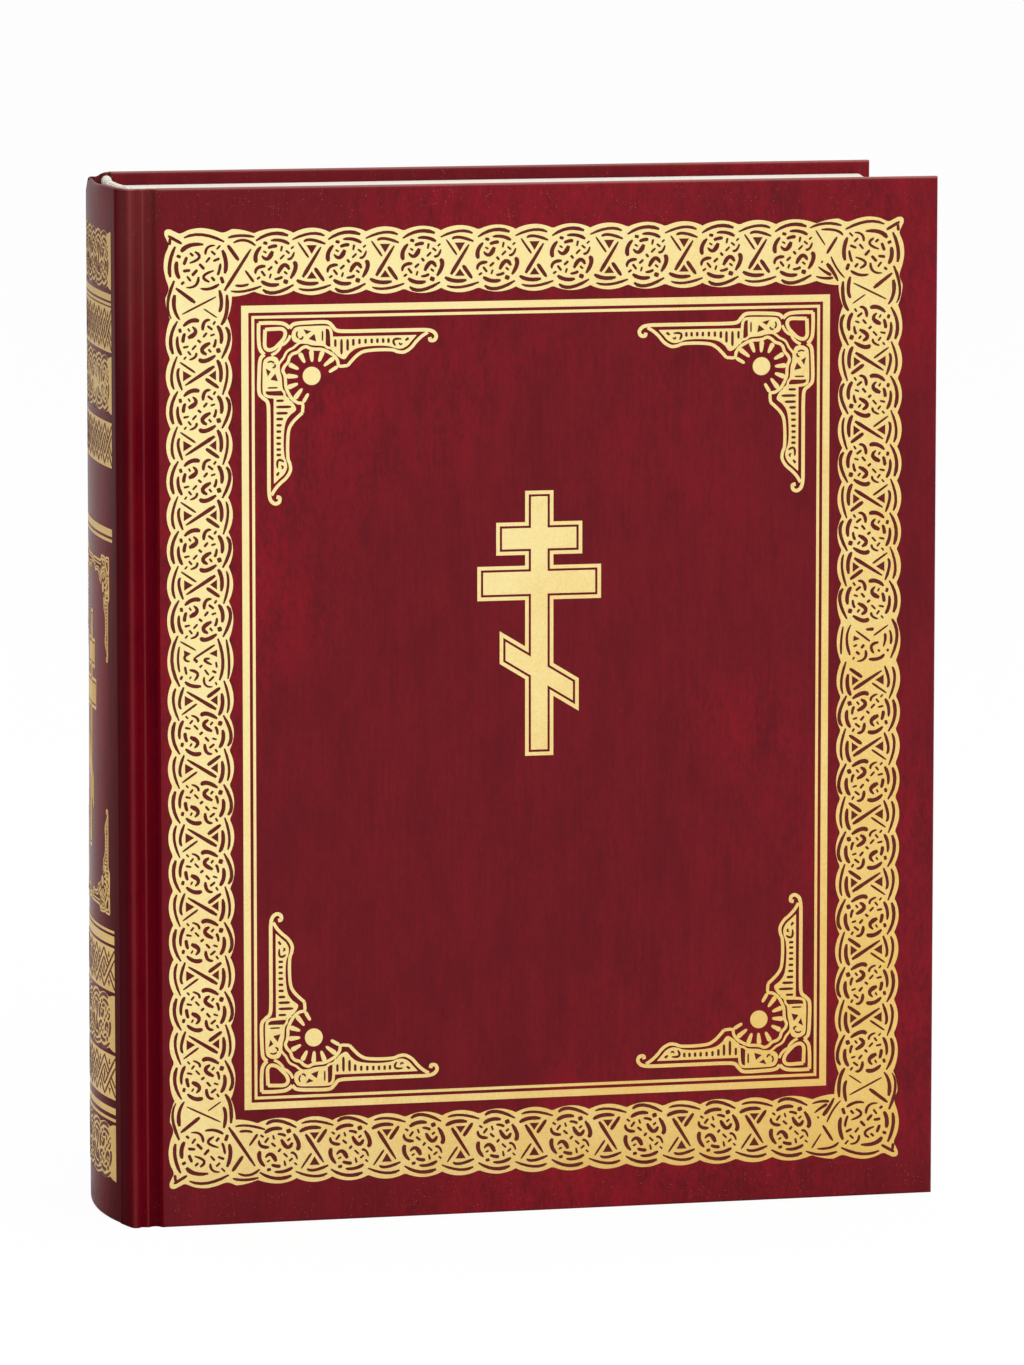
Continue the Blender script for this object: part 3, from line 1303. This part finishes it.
# Middles of the bands across the spine and edges of its rules, in millimetres from the tail
SPINE_KNOTS = (248.9, 217.0, 51.8, 17.9)
SPINE_LATTICES = (231.2, 201.6, 65.8, 37.7)
SPINE_RULES = (
    (238.7, 240.4),
    (237.4, 238.1),
    (178.2, 180.1),
    (176.7, 177.5),
    (72.4, 74.7),
    (75.4, 76.1),
    (28.0, 29.7),
    (26.1, 26.9),
)
SPINE_STATIONS = 121
KNOT_STEPS, GAP_STEPS = (-1, 0, 1), (-0.5, 0.5)
KNOTS_ACROSS = len(KNOT_STEPS)
KNOT_HALF, KNOT_SCALLOP = 6.6, 0.8
KNOT_SCALE, GAP_SCALE = 0.92, 0.9
LATTICE_HALF = 5.8
LATTICE_PITCH = 8.15
LATTICE_STEPS, CORE_STEPS = range(-3, 3), range(-2, 3)
LATTICE_WIDTH = 0.42
LATTICE_LINES = (
    (0.0, -5.1, 8.1, 2.6),
    (0.1, -2.6, 8.15, 5.1),
    (0.0, 5.1, 3.9, 1.4),
    (5.5, -0.2, 8.1, -2.6),
    (0.1, 2.6, 2.7, 0.2),
    (4.3, -1.4, 8.15, -5.1),
)
LATTICE = [straight(*line, LATTICE_WIDTH, LATTICE_WIDTH) for line in LATTICE_LINES]
LATTICE_GAPS = [
    straight(4.1, 4.7, 4.1, 3.1, 0.1, 1.5),
    straight(4.1, -4.7, 4.1, -3.1, 0.1, 1.5),
]
LATTICE_CORES = [
    straight(0.0, 1.4, 0.0, 0.02, 0.1, 1.3),
    straight(0.0, -1.4, 0.0, -0.02, 0.1, 1.3),
]
# The small ornaments and the cross of the spine: the front's ones, scaled across and up
SMALL_INSET = 3.0 * MM
SMALL_LOW, SMALL_HIGH = 79.8 * MM, 172.6 * MM
SMALL_SCALE = (0.45, 0.58)
SMALL_WEIGHT = 0.62
SPINE_CROSS_SCALE = np.array([0.55, 0.9])
SPINE_CROSS_SHIFT = np.array([-2.0, -13.1]) * MM
SPINE_CROSS_FILL = 1.6
SPINE_CROSS_COLUMNS = 16


class BOOK_OT_spine_stamping(bpy.types.Operator):
    """Stamps the bands, rules, ornaments and cross on the spine"""

    bl_idname = "book.spine_stamping"
    bl_label = "Spine stamping"

    def execute(self, context):
        sizes = context.scene.book_stamping
        reach = sizes.spine_half
        gold, land = Stamp(), Stamp()
        self.bands(gold, reach)
        self.knots(land, reach * 2 / KNOTS_ACROSS)
        self.lattices(land)
        inset = SMALL_INSET
        small = ornament_places(inset - reach, reach - inset, SMALL_LOW, SMALL_HIGH)
        small.u, small.v = small.u * SMALL_SCALE, small.v * SMALL_SCALE
        small.weight = SMALL_WEIGHT
        ornament(gold, land, small)
        self.cross(gold)
        gold.finish("spine_gold", spine_surface, sizes.foil, looks("spine gold"), "gold_foil", "block")
        land.finish("spine_land", spine_surface, sizes.land, looks("land"), "leatherette", "block")
        return {"FINISHED"}

    def bands(self, gold, reach):
        """The gold of the bands, with a cosine's scallops where they hold knots, and of the rules."""
        across = np.linspace(-reach, reach, SPINE_STATIONS)
        turn = across / reach * KNOTS_ACROSS * math.pi
        edge = (KNOT_HALF + KNOT_SCALLOP * np.abs(np.cos(turn))) * MM
        level = np.zeros(SPINE_STATIONS)
        bands = [(z * MM - edge, z * MM + edge) for z in SPINE_KNOTS]
        flat = [(z - LATTICE_HALF, z + LATTICE_HALF) for z in SPINE_LATTICES] + list(SPINE_RULES)
        bands += [(low * MM + level, high * MM + level) for low, high in flat]
        for low, high in bands:
            low, high = np.stack([across, low], axis=1), np.stack([across, high], axis=1)
            gold.strip(low[None], high[None])

    def knots(self, land, pitch):
        """The interlace of the border, a little smaller, in the scalloped bands."""
        size = KNOT_SCALE
        knots = [(s * pitch, z * MM, size, 0, 0, size) for z in SPINE_KNOTS for s in KNOT_STEPS]
        add_strokes(land, RING + WHIRLS + OVER_ROUNDEL, Places(knots))
        size = GAP_SCALE
        gaps = [(s * pitch, z * MM, size, 0, 0, size) for z in SPINE_KNOTS for s in GAP_STEPS]
        add_strokes(land, CROSSING + OVER_CROSSING, Places(gaps))
        add_wedges(land, CROSSING_FILL, Places(gaps))

    def lattices(self, land):
        """The crossing lines in the plain bands."""
        step = LATTICE_PITCH * MM
        spans = [(s * step, z * MM, 1, 0, 0, 1) for z in SPINE_LATTICES for s in LATTICE_STEPS]
        cores = [(s * step, z * MM, 1, 0, 0, 1) for z in SPINE_LATTICES for s in CORE_STEPS]
        add_strokes(land, LATTICE, Places(spans))
        add_wedges(land, LATTICE_GAPS, Places(spans))
        add_wedges(land, LATTICE_CORES, Places(cores))

    def cross(self, gold):
        """The cross, filled in narrow columns that follow the curve of the spine."""
        scale, shift = SPINE_CROSS_SCALE, SPINE_CROSS_SHIFT
        outer, inner = (cross_outline(inset) * scale + shift for inset in (0.0, CROSS_LINE))
        gold.strip(outer[None], inner[None])
        right, left = (side * scale + shift for side in cross_sides(SPINE_CROSS_FILL))
        share = np.linspace(0, 1, SPINE_CROSS_COLUMNS + 1)[:, None, None]
        columns = right + (left - right) * share
        gold.strip(columns[:-1], columns[1:])


# Plan of a joint: share of the way from the end of the spine's arc to the board, and depth in millimetres
# under the cover's face; over the shoulder, along the dipping floor, up the edge of the board
JOINT_PLAN = (
    (0.012, 7.00),
    (0.035, 6.20),
    (0.060, 5.20),
    (0.085, 4.20),
    (0.110, 3.30),
    (0.140, 2.30),
    (0.170, 1.50),
    (0.200, 1.00),
    (0.235, 0.66),
    (0.270, 0.50),
    (0.370, 0.55),
    (0.410, 0.75),
    (0.428, 1.15),
    (0.460, 1.35),
    (0.550, 1.18),
    (0.635, 0.95),
    (0.682, 1.25),
    (0.733, 1.60),
    (0.795, 1.85),
    (0.856, 1.75),
    (0.897, 1.35),
    (0.923, 0.90),
    (0.949, 0.48),
    (0.985, 0.20),
    (1.050, 0.08),
)
JOINT_STATIONS = 150
SHOULDER = 0.2
# Where a joint begins to bend after the shoulder, and where it ends before the board
BEND_AFTER, BEND_BEFORE = 0.3 * MM, 0.9 * MM
SHEET_LEVELS = 70
ROLL_STATIONS = 9
FOLD_STATIONS = 7
SHARP_SHEET, SHARP_BEAD = 40, 60


def joint_curve(cover, side):
    """Plan curve of a joint, and x of its shoulder."""
    face = abs(COVER_LO.y)
    angle = spine_angle(cover, side * cover.spine_y)
    start = cover.spine_cx - cover.spine_r * math.cos(angle)
    run = BOARD_LO.x - start
    shares = [(start + part * run, face - deep * MM) for part, deep in JOINT_PLAN]
    curve = smooth_curve(np.vstack([[(start, cover.spine_y)], shares]), JOINT_STATIONS)
    return curve * (1.0, side), start + SHOULDER * run


def rolled_section(skin, core, fold, low, high, levels):
    """Section of a skin folded at head and tail: depths and heights of its outer and its inner line.

    Each rolls over a half circle, the outer around the core and both skins, the inner around the core.
    """
    deep = 2 * skin + core
    arc = np.linspace(0, math.pi, ROLL_STATIONS)
    lines = []
    for radius in (deep / 2, core / 2):
        depth = deep / 2 - radius * np.cos(arc)
        rise = radius * np.sin(arc)
        up = np.linspace(fold, deep / 2, FOLD_STATIONS + 1)[:-1]
        back = np.column_stack([np.full(FOLD_STATIONS, depth[-1]), up])
        head = np.column_stack([depth, high - deep / 2 + rise])
        tail = np.column_stack([depth, low + deep / 2 - rise])[::-1]
        wall = np.linspace(low + deep / 2, high - deep / 2, levels)[1:-1]
        wall = np.column_stack([np.full(levels - 2, depth[0]), wall])
        first = back + (0.0, low)
        last = back[::-1] * (1.0, -1.0) + (0.0, high)
        lines.append(np.vstack([first, tail, wall, head, last]))
    return lines


def left_of(curve):
    """Unit vectors to the left of a plan curve: its direction at each point, turned by a right angle."""
    run = np.gradient(curve, axis=0)
    run /= np.linalg.norm(run, axis=1, keepdims=True)
    return np.stack([-run[:, 1], run[:, 0]], axis=1)


def sheet_object(name, verts, faces, material):
    """The object of a sheet, smooth and with its rest place stored."""
    made = new_object(name, verts, faces, material)
    keep_rest(made, verts)
    shade_smooth(made, SHARP_SHEET)
    return made


def rolled_sheet(name, curve, inward, lines, material, swell):
    """A section carried along a plan curve: every point is moved along the curve's normal by its depth.

    The swell is a function of x, y and z that gives a further shift.
    """
    normal = left_of(curve) * inward
    outer, inner = lines
    loop = np.vstack([outer, inner[::-1]])
    plan = curve[:, None, :] + normal[:, None, :] * loop[None, :, :1]
    height = np.broadcast_to(loop[None, :, 1:], plan.shape[:2] + (1,))
    verts = np.concatenate([plan, height], axis=2).reshape(-1, 3)
    verts += swell(*verts.T)
    faces = tube_faces(len(curve), len(loop))
    if inward < 0:
        faces = faces[:, ::-1]
    return sheet_object(name, verts, faces, material)


class BOOK_OT_joints(bpy.types.Operator):
    """Makes the leatherette of the two joints, which bends between the spine and a board"""

    bl_idname = "book.joints"
    bl_label = "Joints"

    def execute(self, context):
        cover = context.scene.book_covering
        low, high = COVER_LO.z, COVER_HI.z
        lines = rolled_section(cover.skin, cover.lip, cover.turn_in, low, high, SHEET_LEVELS)
        for word, side in (("front", -1.0), ("back", 1.0)):
            curve, shoulder = joint_curve(cover, side)
            look = looks("joint")
            made = rolled_sheet(f"{word}_joint_skin", curve, -side, lines, look, joint_shift)
            start = (shoulder + BEND_AFTER, 0.0, 0.0)
            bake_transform(made)
            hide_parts(f"{word}_joint_leatherette")
        return {"FINISHED"}


CARD_GAP = 0.03 * MM
CARD_TRIM = 4


class BOOK_OT_spine(bpy.types.Operator):
    """Makes the spine's card and its leatherette, rolled over the card at head and tail"""

    bl_idname = "book.spine"
    bl_label = "Spine"

    def execute(self, context):
        cover = context.scene.book_covering
        ends = [spine_angle(cover, sign * cover.spine_y) for sign in (-1.0, 1.0)]
        angle = np.linspace(ends[0], ends[1], SPINE_STATIONS)
        x = cover.spine_cx - cover.spine_r * np.cos(angle)
        y = cover.spine_cy + cover.spine_r * np.sin(angle)
        plan = np.stack([x, y], axis=1)
        low, high = SPINE_LO.z, SPINE_HI.z
        lines = rolled_section(cover.skin, cover.card, cover.turn_in, low, high, SHEET_LEVELS)
        look = looks("hide_bent")
        made = rolled_sheet("spine_skin", plan, -1.0, lines, look, spine_swell)
        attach(made, "block")
        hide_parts("spine_leatherette")
        inset = cover.skin + CARD_GAP
        up = np.linspace(low + inset, high - inset, SHEET_LEVELS)
        depths = (inset, cover.skin + cover.card - CARD_GAP)
        lines = [np.column_stack([np.full(SHEET_LEVELS, depth), up]) for depth in depths]
        plan = plan[CARD_TRIM:-CARD_TRIM]
        card = rolled_sheet("spine_card_bent", plan, -1.0, lines, looks("board"), spine_swell)
        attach(card, "block")
        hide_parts("spine_card")
        return {"FINISHED"}


def thick_sheet(name, curve, across, low, high, material, slot):
    """A plan curve drawn up from low to high, as thick as across to its left, or right if negative."""
    other = curve + left_of(curve) * across
    loop = np.vstack([curve, other[::-1]])
    count = len(loop)
    verts = np.vstack([np.column_stack([loop, np.full(count, z)]) for z in (low, high)])
    faces = tube_faces(2, count)
    if across > 0:
        faces = faces[:, ::-1]
    return sheet_object(name, verts, faces, material)


# Nodes that turn, each with its body
TURNING = (
    ("front_flyleaf", "front_flyleaf_leaf"),
    *((f"section_{n:02d}_leaves", f"leaves_{n:02d}") for n in (1, 2, 3, 28, 29, 30)),
    ("back_flyleaf", "back_flyleaf_leaf"),
)
LEAF_STATIONS = 60
LEAF_CROWDING = 1.7


class BOOK_OT_turning_leaves(bpy.types.Operator):
    """Makes the leaves that turn with the covers; they bend where they leave the gutter"""

    bl_idname = "book.turning_leaves"
    bl_label = "Turning leaves"

    def execute(self, context):
        for node, body in TURNING:
            low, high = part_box(node)
            share = np.linspace(0, 1, LEAF_STATIONS) ** LEAF_CROWDING
            x = low.x + (high.x - low.x) * share
            curve = np.stack([x, np.full(LEAF_STATIONS, low.y)], axis=1)
            flyleaf = "flyleaf" in node
            look = looks("endpaper_bent" if flyleaf else "paper_bent")
            slot = "endpaper" if flyleaf else "page_paper"
            made = thick_sheet(f"{node}_bent", curve, high.y - low.y, low.z, high.z, look, slot)
            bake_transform(made)
            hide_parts(node)
        return {"FINISHED"}


# Plan of a hinge paper in millimetres: past the board's edge and under the pastedown, where it crosses to
# the block, then past the fold and under the side of the block
HINGE_ON_BOARD = ((4.0, 0.01), (1.0, 0.02), (-0.8, 0.10))
HINGE_CROSSING = -1.6
HINGE_ON_BLOCK = ((0.4, 0.0), (0.1, 0.01))
HINGE_STATIONS = 40
HINGE_SQUARE = 4.0 * MM


class BOOK_OT_endpaper_hinges(bpy.types.Operator):
    """Makes the strips of endpaper that cross the inside of the joints"""

    bl_idname = "book.endpaper_hinges"
    bl_label = "Endpaper hinges"

    def execute(self, context):
        paper = context.scene.book_covering.endpaper
        for word, side in (("front", -1.0), ("back", 1.0)):
            paste = min(abs(corner.y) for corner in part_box(f"{word}_pastedown"))
            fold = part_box("section_01_fold")[0].x
            block = abs(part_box("section_01_fold")[0].y) + 2 * paper
            plan = [(BOARD_LO.x + x * MM, paste - y * MM) for x, y in HINGE_ON_BOARD]
            plan += [(BOARD_LO.x + HINGE_CROSSING * MM, (paste + block) / 2)]
            plan += [(fold + x * MM, block - y * MM) for x, y in HINGE_ON_BLOCK]
            curve = smooth_curve(plan, HINGE_STATIONS) * (1.0, side)
            made = thick_sheet(
                f"{word}_endpaper_hinge",
                curve,
                side * paper,
                COVER_LO.z + HINGE_SQUARE,
                COVER_HI.z - HINGE_SQUARE,
                looks("endpaper_bent"),
                "endpaper",
            )
            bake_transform(made)
        return {"FINISHED"}


BEAD_RINGS, BEAD_SIDES = 601, 16
BEAD_GROOVE = 0.07
BEAD_SLANT = 0.5
TAPE_STATIONS = 61
TAPE_GAP = 0.02 * MM


class BOOK_OT_headbands(bpy.types.Operator):
    """Makes the headband and tailband: a bead wound with cotton on a tape

    The bead is a ring carried along the arc of the back, its radius less by a groove times the size of a
    sine that runs along the arc and, more slowly, around the ring.
    """

    bl_idname = "book.headbands"
    bl_label = "Headbands"

    def execute(self, context):
        cover = context.scene.book_covering
        for node, outward in (("headband", 1.0), ("tailband", -1.0)):
            low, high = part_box(node)
            tip = high.z if outward > 0 else low.z
            other = low.z if outward > 0 else high.z
            half = max(-low.y, high.y)
            reach = math.asin(half / cover.back_r)
            bead = cover.bead / 2
            outer = cover.back_cx - low.x
            angle = np.linspace(-reach, reach, BEAD_RINGS)[:, None]
            around = np.linspace(0, 2 * math.pi, BEAD_SIDES + 1)[None, :-1]
            wound = angle * cover.back_r / cover.wrap * math.pi + around * BEAD_SLANT
            radius = bead * (1 - BEAD_GROOVE + BEAD_GROOVE * np.abs(np.sin(wound)))
            ring = outer - bead + radius * np.cos(around)
            x = cover.back_cx - ring * np.cos(angle)
            y = ring * np.sin(angle)
            z = tip - outward * bead + radius * np.sin(around)
            verts = np.stack([x, y, z], axis=2).reshape(-1, 3)
            faces = tube_faces(BEAD_RINGS, BEAD_SIDES)[:, ::-1]
            made = new_object(f"{node}_bead", verts, faces, looks("band"))
            shade_smooth(made, SHARP_BEAD)
            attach(made, "block")
            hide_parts(node)
            arc = np.linspace(-reach, reach, TAPE_STATIONS)
            plan = (outer - TAPE_GAP) * np.stack([-np.cos(arc), np.sin(arc)], axis=1)
            plan += (cover.back_cx, 0.0)
            levels = sorted((other, tip - outward * bead))
            tape = thick_sheet(f"{node}_tape", plan, -cover.tape, *levels, looks("band"), "headband_cotton")
            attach(tape, "block")
        return {"FINISHED"}


# Lights: name, place and width in metres, and share of the main light's strength
LIGHTS = (
    ("key", (0.3, -2.0, 1.8), 1.6, 1.0),
    ("fill", (1.6, -1.6, 1.2), 1.8, 0.35),
    ("top", (0.1, 0.2, 2.2), 1.6, 0.6),
)
SENSOR_WIDTH = 36.0
FAR_CLIP = 50.0
FLOOR_REACH = 30.0
FLOOR_GAP = 0.02 * MM
FLOOR_WHITE = 0.96
WHITE = (1.0, 1.0, 1.0, 1.0)


class BOOK_OT_stage(bpy.types.Operator):
    """Sets the camera, the light and the pale floor"""

    bl_idname = "book.stage"
    bl_label = "Stage"

    def execute(self, context):
        scene = context.scene
        stage = scene.book_stage
        camera = bpy.data.cameras.new("camera")
        camera.lens = stage.lens
        camera.sensor_width = SENSOR_WIDTH
        camera.clip_end = FAR_CLIP
        seen = bpy.data.objects.new("camera", camera)
        seen.location = (stage.camera_x, stage.camera_y, stage.camera_z)
        tilt = math.radians(90.0 - stage.pitch)
        seen.rotation_euler = (tilt, 0.0, -math.radians(stage.yaw))
        scene.collection.objects.link(seen)
        scene.camera = seen
        for name, place, size, share in LIGHTS:
            self.light(scene, name, place, size, stage.key * share)
        self.floor(scene)
        self.world(scene, stage.sky)
        scene.view_settings.view_transform = "Standard"
        return {"FINISHED"}

    def light(self, scene, name, place, size, power):
        """A square soft light that looks at the middle of the book."""
        lamp = bpy.data.lights.new(name, "AREA")
        lamp.size = size
        lamp.energy = power
        made = bpy.data.objects.new(name, lamp)
        made.location = place
        aim = made.location.copy()
        aim.z -= COVER_HI.z / 2
        made.rotation_euler = aim.to_track_quat("Z", "Y").to_euler()
        scene.collection.objects.link(made)

    def floor(self, scene):
        """A wide plane under the book, white to the camera except for part of the shadow."""
        z = COVER_LO.z - FLOOR_GAP
        ways = ((-1, -1), (1, -1), (1, 1), (-1, 1))
        corners = np.array([(x * FLOOR_REACH, y * FLOOR_REACH, z) for x, y in ways])
        mesh = bpy.data.meshes.new("floor")
        mesh.from_pydata(corners.tolist(), [], [(0, 1, 2, 3)])
        made = bpy.data.objects.new("floor", mesh)
        scene.collection.objects.link(made)
        material, tree = new_tree("floor")
        tint = rgba(scene.book_colours.floor)
        matt = tree.node("ShaderNodeBsdfDiffuse", None, {"Color": tint})
        white = tree.node("ShaderNodeEmission", None, {"Color": WHITE, "Strength": 1.0})
        seen = tree.node("ShaderNodeLightPath", None, None, 0)
        shader = tree.node("ShaderNodeMixShader", None, {0: seen * FLOOR_WHITE, 1: matt, 2: white})
        tree.node("ShaderNodeOutputMaterial", None, {"Surface": shader})
        mesh.materials.append(material)

    def world(self, scene, strength):
        """Even light, white where the camera sees it."""
        world = bpy.data.worlds.new("world")
        scene.world = world
        tree = Tree(world)
        seen = tree.node("ShaderNodeLightPath")
        level = seen * (1.0 - strength) + strength
        sky = tree.node("ShaderNodeBackground", None, {"Color": WHITE, "Strength": level})
        tree.node("ShaderNodeOutputWorld", None, {"Surface": sky})


class BOOK_PT_panel(bpy.types.Panel):
    """Lists the steps of the build"""

    bl_idname = "BOOK_PT_panel"
    bl_label = "Book"
    bl_space_type = "VIEW_3D"
    bl_region_type = "UI"
    bl_category = "Book"

    def draw(self, context):
        for step in STEPS:
            self.layout.operator(step.bl_idname)


STEPS = (
    BOOK_OT_materials,
    BOOK_OT_spine,
    BOOK_OT_joints,
    BOOK_OT_turning_leaves,
    BOOK_OT_endpaper_hinges,
    BOOK_OT_headbands,
    BOOK_OT_front_border,
    BOOK_OT_front_rules,
    BOOK_OT_front_corners,
    BOOK_OT_front_cross,
    BOOK_OT_spine_stamping,
    BOOK_OT_stage,
)
GROUPS = {
    "book_stamping": BOOK_PG_stamping,
    "book_covering": BOOK_PG_covering,
    "book_colours": BOOK_PG_colours,
    "book_stage": BOOK_PG_stage,
}


def register():
    """Registers the classes and the settings of the scene."""
    for kind in (*GROUPS.values(), *STEPS, BOOK_PT_panel):
        bpy.utils.register_class(kind)
    for name, kind in GROUPS.items():
        setattr(bpy.types.Scene, name, bpy.props.PointerProperty(type=kind))


def unregister():
    """Takes the classes and the settings away again."""
    for name in GROUPS:
        delattr(bpy.types.Scene, name)
    for kind in (BOOK_PT_panel, *STEPS[::-1], *GROUPS.values()):
        bpy.utils.unregister_class(kind)


def main():
    """Builds the book step by step."""
    register()
    bpy.ops.book.materials()
    bpy.ops.book.spine()
    bpy.ops.book.joints()
    bpy.ops.book.turning_leaves()
    bpy.ops.book.endpaper_hinges()
    bpy.ops.book.headbands()
    bpy.ops.book.front_border()
    bpy.ops.book.front_rules()
    bpy.ops.book.front_corners()
    bpy.ops.book.front_cross()
    bpy.ops.book.spine_stamping()
    bpy.ops.book.stage()
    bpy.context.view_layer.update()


if __name__ == "__main__":
    main()
